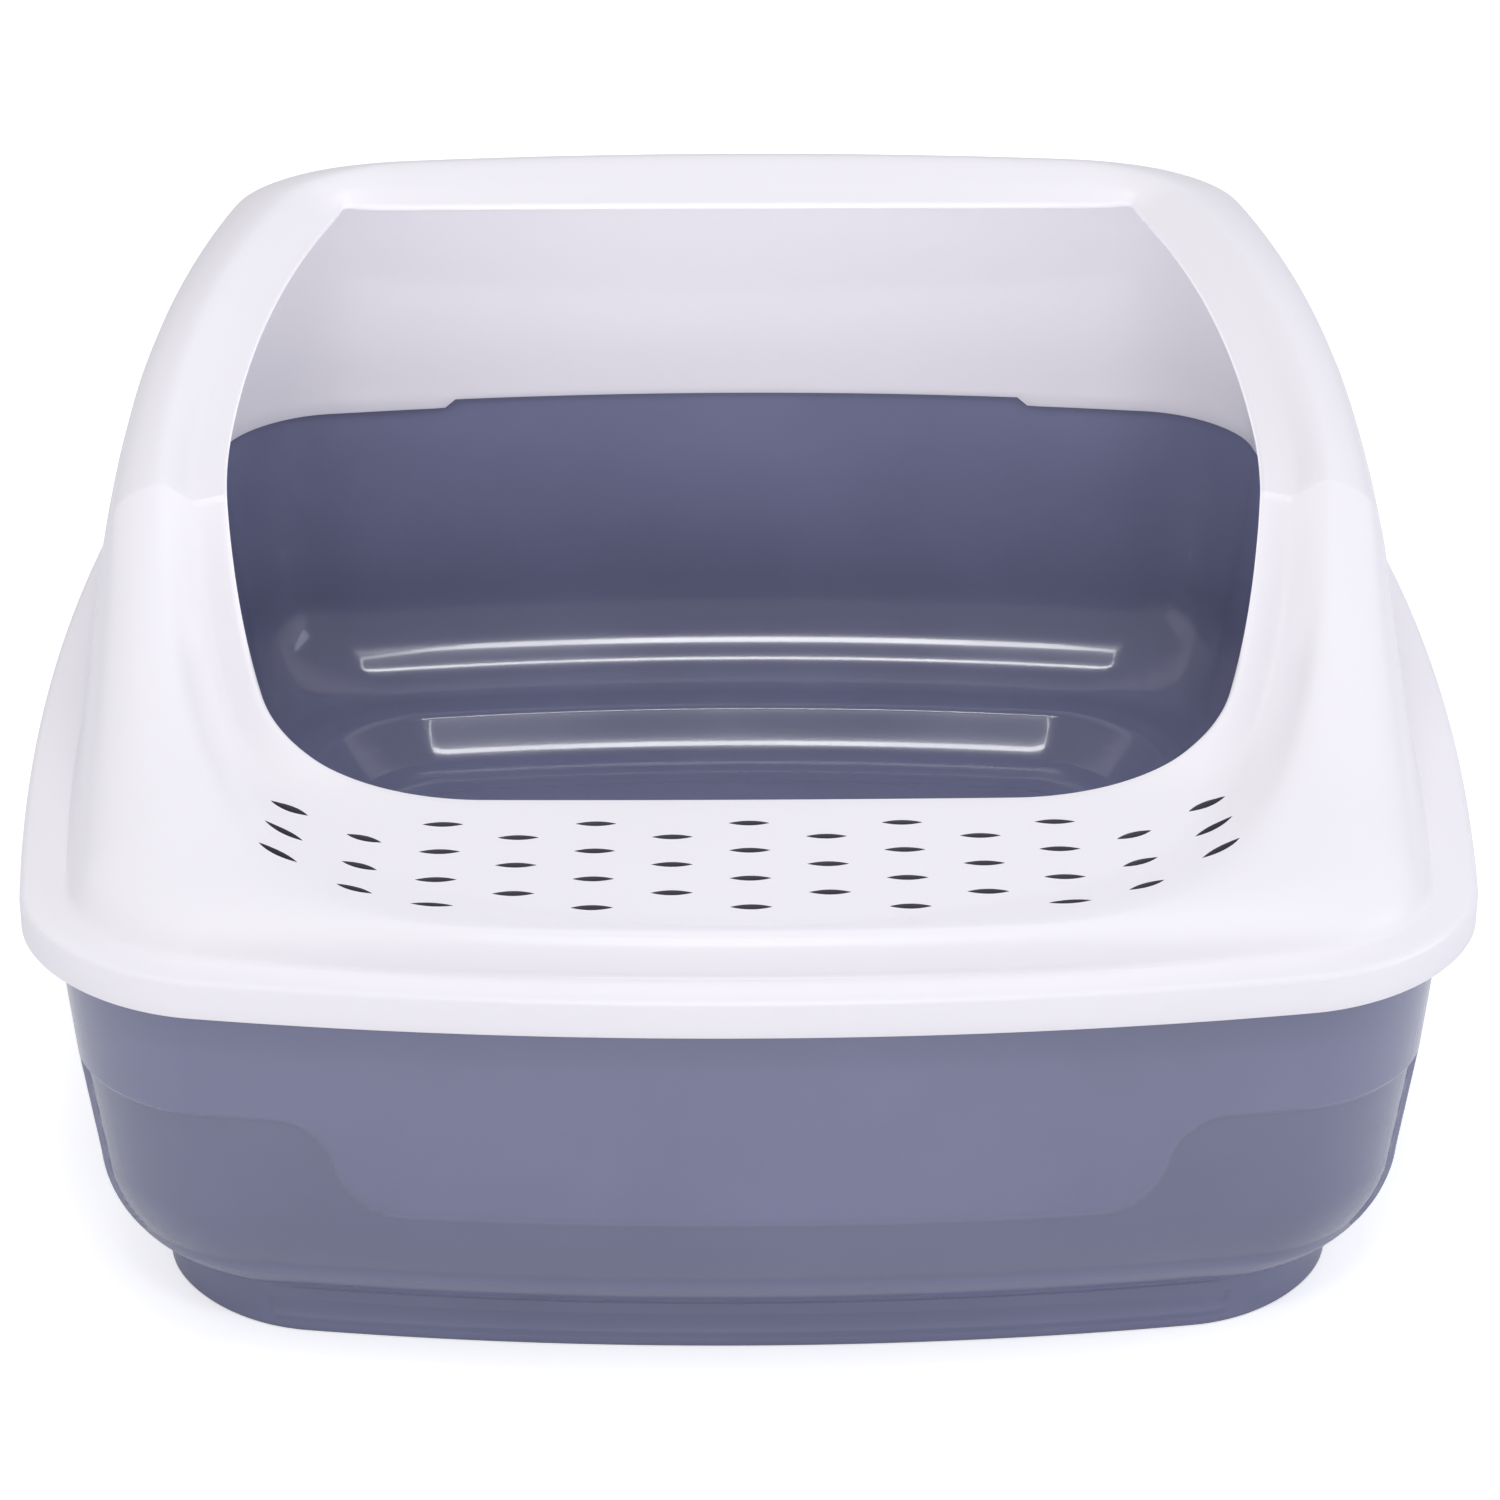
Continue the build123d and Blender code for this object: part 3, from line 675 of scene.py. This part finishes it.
def rim_rings(settings):
    """Closed section of the high rim, swept round: skirt, strip, wall, crown, lip and back."""
    angles = rim_directions(settings)
    wall = settings.wall / MM
    edge = plan(settings, 0.0).reach(angles)
    foot = plan(settings, STRIP_INSET).reach(angles)
    stretch = (edge - foot) / STRIP_INSET
    flat = np.ones_like(angles)
    bottom = STRIP_TOP - SKIRT_HEIGHT

    def at(inset, height):
        return np.array([edge - inset * stretch, height * flat])

    # the moulding is thinner over the entry shelf, from just inside the crown
    outer = sheet_line(settings, angles)
    ahead = smoothstep((-np.sin(angles) - 0.62) / 0.25)
    walls = [wall - SHELF_THINNER * ahead * smoothstep((i - CROWN_POINT - 3) / 8)
             for i in range(len(outer))]
    inner = offset(outer, stretch, walls)
    section = [at(0.5, bottom), at(0.15, bottom + 0.15), at(0.0, bottom + 0.5),
               at(0.0, bottom + 3.0), at(0.0, STRIP_TOP - 2.0)]
    for turn in (22.5, 45.0, 67.5, 90.0):
        away = 2.0 * (1 - math.sin(math.radians(turn)))
        section.append(at(2.0 - 2.0 * math.cos(math.radians(turn)), STRIP_TOP - away))
    section += [at(4.0, STRIP_TOP), at(8.0, STRIP_TOP), at(11.0, STRIP_TOP),
                at(12.0, STRIP_TOP + 0.05)]
    section += outer[1:]

    # round edge of the opening, half a turn from the outer to the inner line
    last, back = outer[-1], inner[-1]
    middle = (last + back) / 2
    half = (last - back) / 2
    bulge = np.array([-half[1] * stretch, half[0] / stretch])
    bulge = np.where((bulge[0] > 0)[None, :], -bulge, bulge)
    for turn in (30.0, 60.0, 90.0, 120.0, 150.0):
        a = math.radians(turn)
        section.append(middle + half * math.cos(a) + bulge * math.sin(a))
    section += inner[::-1][:-1]

    # inner lip, shorter at the middle of the back
    x = foot * np.cos(angles)
    y = foot * np.sin(angles)
    notch = smoothstep((NOTCH_HALF - np.abs(x)) / 4.0) * (y > 100.0)
    lip = SEAT - LIP_DROP + NOTCH_RISE * notch
    inside = foot - wall * stretch
    section += [np.array([inside, STRIP_TOP * flat]), np.array([inside, 118.0 * flat]),
                np.array([inside, lip + 0.6]), np.array([inside + 0.3 * stretch, lip + 0.1]),
                np.array([inside + 0.9 * stretch, lip]), np.array([foot - 0.9 * stretch, lip]),
                np.array([foot - 0.3 * stretch, lip + 0.1]), np.array([foot, lip + 0.6]),
                np.array([foot, (SEAT - 0.4) * flat]),
                np.array([foot + 0.4 * stretch, SEAT * flat]),
                at(wall + 0.5, SEAT), at(wall, SEAT - 0.5), at(wall, bottom + 0.5),
                at(wall - 0.15, bottom + 0.15), at(wall - 0.5, bottom)]
    return [np.stack([r * np.cos(angles), r * np.sin(angles), z], axis=1)
            for r, z in section]


def slot_tree(material):
    """Node tree: staggered columns of lens-shaped cutters on the entry shelf."""
    tree = bpy.data.node_groups.new("drain_slots", "GeometryNodeTree")
    face = tree.interface
    face.new_socket("Geometry", in_out="OUTPUT", socket_type="NodeSocketGeometry")
    face.new_socket("Geometry", in_out="INPUT", socket_type="NodeSocketGeometry")
    for name, value in (("Slot length", 0.0108), ("Slot width", 0.0028),
                        ("Column pitch", 0.020), ("Row pitch", 0.0159),
                        ("First row", -0.151), ("Low end", 0.121), ("Cut height", 0.03)):
        made = face.new_socket(name, in_out="INPUT", socket_type="NodeSocketFloat")
        made.default_value = value
        made.subtype = "DISTANCE"
    rows = face.new_socket("Rows", in_out="INPUT", socket_type="NodeSocketInt")
    rows.default_value = 4
    start = node(tree, "NodeGroupInput")
    given = start.outputs

    def maths(operation, a, b=0.0):
        return node(tree, "ShaderNodeMath", {"operation": operation}, {0: a, 1: b}).outputs[0]

    # lens: a disc squeezed so that its sides meet in points
    disc = node(tree, "GeometryNodeMeshCircle", {"fill_type": "NGON"}, {
        "Vertices": 28, "Radius": 1.0})
    where = node(tree, "ShaderNodeSeparateXYZ", None, {
        0: node(tree, "GeometryNodeInputPosition").outputs[0]})
    lens_x = maths("MULTIPLY", where.outputs[0], maths("MULTIPLY", given["Slot length"], 0.5))
    squeeze = maths("MULTIPLY", where.outputs[1], maths("ABSOLUTE", where.outputs[1]))
    lens_y = maths("MULTIPLY", squeeze, maths("MULTIPLY", given["Slot width"], 0.5))
    lens = node(tree, "GeometryNodeSetPosition", None, {
        "Geometry": disc.outputs[0],
        "Position": node(tree, "ShaderNodeCombineXYZ", None, {
            0: lens_x, 1: lens_y}).outputs[0]})
    raised = node(tree, "GeometryNodeExtrudeMesh", None, {
        "Mesh": lens.outputs[0], "Offset Scale": given["Cut height"]})
    under = node(tree, "GeometryNodeFlipFaces", None, {"Mesh": lens.outputs[0]})
    both = node(tree, "GeometryNodeJoinGeometry")
    tree.links.new(raised.outputs[0], both.inputs[0])
    tree.links.new(under.outputs[0], both.inputs[0])
    cutter = node(tree, "GeometryNodeMergeByDistance", None, {
        "Geometry": both.outputs[0], "Distance": 1e-6})

    # longer columns on the middle, shorter ones between them, each a grid of points
    grids = []
    fewer = maths("SUBTRACT", given["Rows"], 1.0)
    for columns, count, shift in ((5, given["Rows"], 0.0), (6, fewer, 0.5)):
        wide = maths("MULTIPLY", given["Column pitch"], 2.0 * (columns - 1))
        deep = maths("MULTIPLY", given["Row pitch"], maths("SUBTRACT", count, 1.0))
        grid = node(tree, "GeometryNodeMeshGrid", None, {
            "Size X": wide, "Size Y": deep, "Vertices X": columns, "Vertices Y": count})
        first = maths("SUBTRACT", given["First row"],
                      maths("MULTIPLY", given["Row pitch"], shift))
        middle = maths("SUBTRACT", first, maths("MULTIPLY", deep, 0.5))
        moved = node(tree, "GeometryNodeTransform", None, {
            "Geometry": grid.outputs[0],
            "Translation": node(tree, "ShaderNodeCombineXYZ", None, {
                1: middle, 2: given["Low end"]}).outputs[0]})
        grids.append(moved.outputs[0])

    # three slanted slots at each corner of the shelf
    for side in (-1, 1):
        line = node(tree, "GeometryNodeMeshLine", None, {
            "Count": 3,
            "Start Location": node(tree, "ShaderNodeCombineXYZ", None, {
                0: 0.121 * side, 1: -0.141, 2: given["Low end"]}).outputs[0],
            "Offset": (0.0, -0.0154, 0.0)})
        grids.append(line.outputs[0])
    points = node(tree, "GeometryNodeJoinGeometry")
    for grid in grids:
        tree.links.new(grid, points.inputs[0])

    # the outer columns lean, the corner ones more and they are longer
    spot = node(tree, "ShaderNodeSeparateXYZ", None, {
        0: node(tree, "GeometryNodeInputPosition").outputs[0]})
    aside = maths("ABSOLUTE", spot.outputs[0])
    outer = maths("GREATER_THAN", aside, 0.09)
    corner = maths("GREATER_THAN", aside, 0.11)
    lean = maths("ADD", maths("MULTIPLY", outer, math.radians(28)),
                 maths("MULTIPLY", corner, math.radians(12)))
    turn = maths("MULTIPLY", lean, maths("SIGN", spot.outputs[0]))
    longer = maths("ADD", maths("MULTIPLY", corner, 0.3), 1.0)
    placed = node(tree, "GeometryNodeInstanceOnPoints", None, {
        "Points": points.outputs[0], "Instance": cutter.outputs[0],
        "Rotation": node(tree, "ShaderNodeCombineXYZ", None, {2: turn}).outputs[0],
        "Scale": node(tree, "ShaderNodeCombineXYZ", None, {
            0: longer, 1: 1.0, 2: 1.0}).outputs[0]})
    real = node(tree, "GeometryNodeRealizeInstances", None, {
        "Geometry": placed.outputs[0]})
    finish = node(tree, "GeometryNodeSetMaterial", None, {
        "Geometry": real.outputs[0], "Material": material})
    node(tree, "NodeGroupOutput", None, {0: finish.outputs[0]})
    return tree


def slot_cutters(slots, material):
    """The slots' cutters as one plain mesh object."""
    tree = slot_tree(material)
    carrier = show("slot_cutters", bpy.data.meshes.new("slot_cutters"))
    modifier = carrier.modifiers.new("drain_slots", "NODES")
    modifier.node_group = tree
    sizes = {"Slot length": slots.length, "Slot width": slots.width,
             "Column pitch": slots.pitch_x, "Row pitch": slots.pitch_y, "Rows": slots.rows}
    for item in tree.interface.items_tree:
        if item.item_type == "SOCKET" and item.in_out == "INPUT" and item.name in sizes:
            modifier[item.identifier] = sizes[item.name]
    graph = bpy.context.evaluated_depsgraph_get()
    mesh = bpy.data.meshes.new_from_object(carrier.evaluated_get(graph))
    carrier.modifiers.remove(modifier)
    carrier.data = mesh
    return carrier


def cut(target, cutter):
    """Cuts the cutter out of the target's mesh."""
    modifier = target.modifiers.new("cut", "BOOLEAN")
    modifier.operation = "DIFFERENCE"
    modifier.solver = "MANIFOLD"
    modifier.object = cutter
    graph = bpy.context.evaluated_depsgraph_get()
    mesh = bpy.data.meshes.new_from_object(target.evaluated_get(graph))
    target.modifiers.remove(modifier)
    target.data = mesh
    bpy.data.objects.remove(cutter)


def rim_plastic(settings):
    """White polypropylene: a cool white with a soft moulded gloss."""
    material, tree = new_material("white_polypropylene")
    place = node(tree, "ShaderNodeTexCoord")
    cloud = node(tree, "ShaderNodeTexNoise", None, {
        "Vector": place.outputs["Object"], "Scale": 9.0, "Detail": 2.0})
    tint = node(tree, "ShaderNodeMapRange", None, {
        "Value": cloud.outputs[0], "From Min": 0.3, "From Max": 0.7,
        "To Min": 0.985, "To Max": 1.0})
    colour = node(tree, "ShaderNodeMix", {"data_type": "RGBA", "blend_type": "MULTIPLY"}, {
        0: 1.0, 6: tuple(settings.colour), 7: tint.outputs[0]})
    gloss = node(tree, "ShaderNodeMapRange", None, {
        "Value": cloud.outputs[0], "From Min": 0.3, "From Max": 0.7,
        "To Min": settings.roughness - 0.02, "To Max": settings.roughness + 0.03})
    shader = node(tree, "ShaderNodeBsdfPrincipled", None, {
        "Base Color": colour.outputs[2], "Roughness": gloss.outputs[0], "IOR": 1.49})
    node(tree, "ShaderNodeOutputMaterial", None, {"Surface": shader.outputs[0]})
    return material


def slot_wall_painted_shade():
    """Painted shade on the slots' narrow walls: the rim's white polypropylene drawn matte and dark
    grey, standing in for the shade inside the slots.
    """
    material, tree = new_material("polypropylene_slot_wall_painted_shade")
    place = node(tree, "ShaderNodeTexCoord")
    cloud = node(tree, "ShaderNodeTexNoise", None, {
        "Vector": place.outputs["Object"], "Scale": 60.0})
    colour = node(tree, "ShaderNodeMix", {"data_type": "RGBA"}, {
        0: cloud.outputs[0], 6: linear("5C5A64"), 7: linear("6C6A74")})
    shader = node(tree, "ShaderNodeBsdfPrincipled", None, {
        "Base Color": colour.outputs[2], "Roughness": 0.6, "IOR": 1.49})
    node(tree, "ShaderNodeOutputMaterial", None, {"Surface": shader.outputs[0]})
    return material


def shade_slot_walls(mesh):
    """Gives the upright faces inside the shelf, the slots' walls, the second material: the painted
    shade.
    """
    for face in mesh.polygons:
        x, y, z = face.center / MM
        upright = abs(face.normal.z) < 0.3
        back = CORNER_SLOTS_BACK if abs(x) > CORNER_SLOTS_SIDE else SLOTS_BACK
        on_shelf = SLOTS_FRONT < y < back and abs(x) < SLOTS_SIDE and 120 < z < 140
        face.material_index = int(upright and on_shelf)


class LITTERTRAY_OT_rim(bpy.types.Operator):
    """Builds the white high rim with its skirt, swept entry and slotted shelf"""
    bl_idname = "littertray.rim"
    bl_label = "High rim"

    def execute(self, context):
        settings = context.scene.litter_rim
        plastic = rim_plastic(settings)
        mesh = band_mesh("rim_moulding", rim_rings(settings), True)
        finish_mesh(mesh, 40)
        made = show("rim_moulding", mesh)
        made.data.materials.append(plastic)
        cut(made, slot_cutters(context.scene.litter_slots, plastic))
        finish_mesh(made.data, 40)
        made.data.materials.clear()
        # the second material is painted shade on the slot walls; the real walls are the rim's
        # white
        for finish in (plastic, slot_wall_painted_shade()):
            made.data.materials.append(finish)
        shade_slot_walls(made.data)
        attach(made, "rim")
        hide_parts("high_rim")
        return {"FINISHED"}


# Studio

def area_light(name, place, aim, size, power, colour):
    """A soft rectangular light at place, turned to aim."""
    data = bpy.data.lights.new(name, "AREA")
    data.shape = "RECTANGLE"
    data.size, data.size_y = size
    data.energy = power
    data.color = colour
    light = bpy.data.objects.new(name, data)
    light.location = place
    light.rotation_euler = (Vector(aim) - Vector(place)).to_track_quat("-Z", "Y").to_euler()
    bpy.context.scene.collection.objects.link(light)
    return light


def softbox(power):
    """Overhead softbox with a bright edge: four strips round a faint middle."""
    middle = Vector((0.0, -0.9, 1.5))
    wide, deep = 0.37, 0.70
    parts = (("back", (0, deep / 2, 0), (wide, 0.08), 0.24),
             ("front", (0, -deep / 2, 0), (wide, 0.20), 0.58),
             ("left", (-wide / 2, 0, 0), (0.018, deep), 0.08),
             ("right", (wide / 2, 0, 0), (0.018, deep), 0.08),
             ("glow", (0, 0, 0.01), (wide, deep), 0.02))
    for name, shift, size, share in parts:
        place = middle + Vector(shift)
        area_light("softbox_" + name, place, place - Vector((0, 0, 1)), size,
                   power * share, (1.0, 1.0, 1.0))


def studio_floor(settings):
    """Pale matte floor that reads as a white sweep and still takes a faint shadow."""
    material, tree = new_material("pale_floor")
    place = node(tree, "ShaderNodeTexCoord")
    grain = node(tree, "ShaderNodeTexNoise", None, {
        "Vector": place.outputs["Object"], "Scale": 3.0})
    tint = node(tree, "ShaderNodeMapRange", None, {
        "Value": grain.outputs[0], "To Min": 0.995, "To Max": 1.0})
    colour = node(tree, "ShaderNodeMix", {"data_type": "RGBA", "blend_type": "MULTIPLY"}, {
        0: 1.0, 6: tuple(settings.floor_colour), 7: tint.outputs[0]})
    matte = node(tree, "ShaderNodeBsdfDiffuse", None, {"Color": colour.outputs[2]})
    glow = node(tree, "ShaderNodeEmission", None, {
        "Color": (1, 1, 1, 1), "Strength": 0.53})
    dark = node(tree, "ShaderNodeEmission", None, {"Strength": 0.0})
    path = node(tree, "ShaderNodeLightPath")
    seen = node(tree, "ShaderNodeMixShader", None, {
        0: path.outputs["Is Camera Ray"], 1: dark.outputs[0], 2: glow.outputs[0]})
    both = node(tree, "ShaderNodeAddShader", None, {0: matte.outputs[0], 1: seen.outputs[0]})
    node(tree, "ShaderNodeOutputMaterial", None, {"Surface": both.outputs[0]})
    return material


class LITTERTRAY_OT_stage(bpy.types.Operator):
    """Adds the floor, the soft lights, the pale surroundings and the camera"""
    bl_idname = "littertray.stage"
    bl_label = "Studio"

    def execute(self, context):
        settings = context.scene.litter_stage
        scene = context.scene
        half = 6.0
        mesh = bpy.data.meshes.new("studio_floor")
        mesh.from_pydata([(-half, -half, 0), (half, -half, 0), (half, half, 0),
                          (-half, half, 0)], [], [(0, 1, 2, 3)])
        floor = show("studio_floor", mesh)
        floor.data.materials.append(studio_floor(settings))

        softbox(settings.key_power)
        front = area_light("front", (-0.5, -2.0, 0.62), (0, 0, 0.10), (1.8, 0.8),
                           settings.front_power, (1.0, 0.995, 0.99))
        front.visible_glossy = False
        above = area_light("above", (0.0, 0.5, 1.6), (0, 0, 0.1), (1.2, 0.8),
                           settings.above_power, (1.0, 1.0, 1.0))
        above.visible_glossy = False
        card = area_light("inside_card", (0.0, 0.0, 0.118), (0.0, 0.035, 0.218), (0.25, 0.20),
                          settings.inside_power, (1.0, 0.995, 1.0))
        card.visible_camera = False
        card.visible_glossy = False
        area_light("fill_left", (-1.7, 0.1, 0.8), (0, 0, 0.1), (1.0, 0.8),
                   0.2 * settings.fill_power, (0.94, 0.96, 1.0))
        area_light("fill_right", (1.7, -0.2, 0.8), (0, 0, 0.1), (1.0, 0.8),
                   3.0 * settings.fill_power, (0.84, 0.88, 1.0))

        # white to the camera, and dimmer where the plastic mirrors it
        world = bpy.data.worlds.new("pale_room")
        world.use_nodes = True
        tree = world.node_tree
        tree.nodes.clear()
        path = node(tree, "ShaderNodeLightPath")
        room = node(tree, "ShaderNodeBackground", None, {
            "Color": linear("F2F2F6"), "Strength": 0.68})
        white = node(tree, "ShaderNodeBackground", None, {
            "Color": (1, 1, 1, 1), "Strength": 1.0})
        dimmer = node(tree, "ShaderNodeBackground", None, {
            "Color": linear("F2F2F6"), "Strength": 0.34})
        around = node(tree, "ShaderNodeMixShader", None, {
            0: path.outputs["Is Glossy Ray"], 1: room.outputs[0], 2: dimmer.outputs[0]})
        mix = node(tree, "ShaderNodeMixShader", None, {
            0: path.outputs["Is Camera Ray"], 1: around.outputs[0], 2: white.outputs[0]})
        node(tree, "ShaderNodeOutputWorld", None, {"Surface": mix.outputs[0]})
        scene.world = world

        data = bpy.data.cameras.new("camera")
        data.sensor_width = 36.0
        data.lens = 96.48
        data.shift_x = 7.0 / 1500
        camera = bpy.data.objects.new("camera", data)
        tilt = math.radians(25.1)
        turn = math.radians(0.6)
        distance = 1.2088
        away = Vector((-math.sin(turn) * math.cos(tilt), -math.cos(turn) * math.cos(tilt),
                       math.sin(tilt)))
        camera.location = Vector((0, 0, 0.08195)) + away * distance
        camera.rotation_euler = (math.pi / 2 - tilt, 0, -turn)
        scene.collection.objects.link(camera)
        scene.camera = camera
        scene.view_settings.view_transform = "Standard"
        return {"FINISHED"}


class LITTERTRAY_PT_panel(bpy.types.Panel):
    """Sizes, colours and the steps that build the tray"""
    bl_idname = "LITTERTRAY_PT_panel"
    bl_label = "Litter tray"
    bl_space_type = "VIEW_3D"
    bl_region_type = "UI"
    bl_category = "Litter tray"

    def draw(self, context):
        layout = self.layout
        scene = context.scene
        for group, action in ((scene.litter_tray, "littertray.tray"),
                              (scene.litter_rim, "littertray.rim"),
                              (scene.litter_slots, None),
                              (scene.litter_stage, "littertray.stage")):
            box = layout.box()
            for name in group.__annotations__:
                box.prop(group, name)
            if action:
                box.operator(action)


GROUPS = (("litter_tray", TraySettings), ("litter_rim", RimSettings),
          ("litter_slots", SlotSettings), ("litter_stage", StageSettings))
CLASSES = (TraySettings, RimSettings, SlotSettings, StageSettings, LITTERTRAY_OT_tray,
           LITTERTRAY_OT_rim, LITTERTRAY_OT_stage, LITTERTRAY_PT_panel)


def register():
    for entry in CLASSES:
        bpy.utils.register_class(entry)
    for name, group in GROUPS:
        setattr(bpy.types.Scene, name, PointerProperty(type=group))


def unregister():
    for name, _ in GROUPS:
        delattr(bpy.types.Scene, name)
    for entry in reversed(CLASSES):
        bpy.utils.unregister_class(entry)


def main():
    register()
    bpy.ops.littertray.stage()
    bpy.ops.littertray.tray()
    bpy.ops.littertray.rim()


if __name__ == "__main__":
    main()
